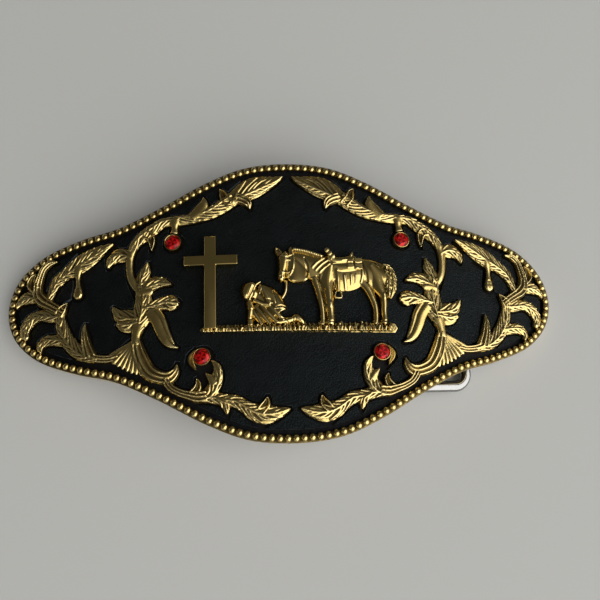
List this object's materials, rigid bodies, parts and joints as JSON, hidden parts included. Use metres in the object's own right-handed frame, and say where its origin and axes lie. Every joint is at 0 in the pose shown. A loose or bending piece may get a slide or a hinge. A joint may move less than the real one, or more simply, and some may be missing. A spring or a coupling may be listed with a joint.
{
  "type": "belt buckle",
  "caption": "Arched western show buckle: beaded edge, black leather inlay with gold scrolls, red stones, raised horse and cross scene, swinging wire bail and fixed prong on the back.",
  "frame": {"origin": "bottom centre of the bounding box, on the level the two ends of the plate stand on", "axes": "+X along the plate to the bail end, +Y to the top edge of the face, +Z out of the face"},
  "size_m": [0.134, 0.0668, 0.0167],
  "materials": {
    "plate_metal": "gold-plated casting, satin",
    "antique_gold": "gold-plated casting, bright on the high places, dark in the recesses",
    "polished_gold": "gold-plated casting, bright",
    "black_leather": "fine grain, satin",
    "red_stone": "faceted, foiled back",
    "nickel": "bright nickel plate"
  },
  "bodies": {
    "buckle": {"base_plate": "plate_metal", "leather_inlay": "black_leather", "beaded_edge": "antique_gold", "scroll_left": "antique_gold", "scroll_right": "antique_gold", "stone_setting_upper_left": "antique_gold", "stone_setting_upper_right": "antique_gold", "stone_setting_lower_left": "antique_gold", "stone_setting_lower_right": "antique_gold", "cross": "polished_gold", "ground_strip": "polished_gold", "horse": "polished_gold", "saddle": "polished_gold", "kneeling_figure": "polished_gold", "reins": "polished_gold", "stone_upper_left": "red_stone", "stone_upper_right": "red_stone", "stone_lower_left": "red_stone", "stone_lower_right": "red_stone", "scene_rivets": "nickel", "hinge_barrel": "nickel", "prong": "nickel"},
    "bail": {"belt_bail": "nickel"}
  },
  "joints": [
    {"name": "bail_hinge", "type": "hinge", "parent": "buckle", "child": "bail", "pos_m": [0.023, 0, 0.00541], "axis": [0, 1, 0], "range_deg": [-6, 170]}
  ]
}
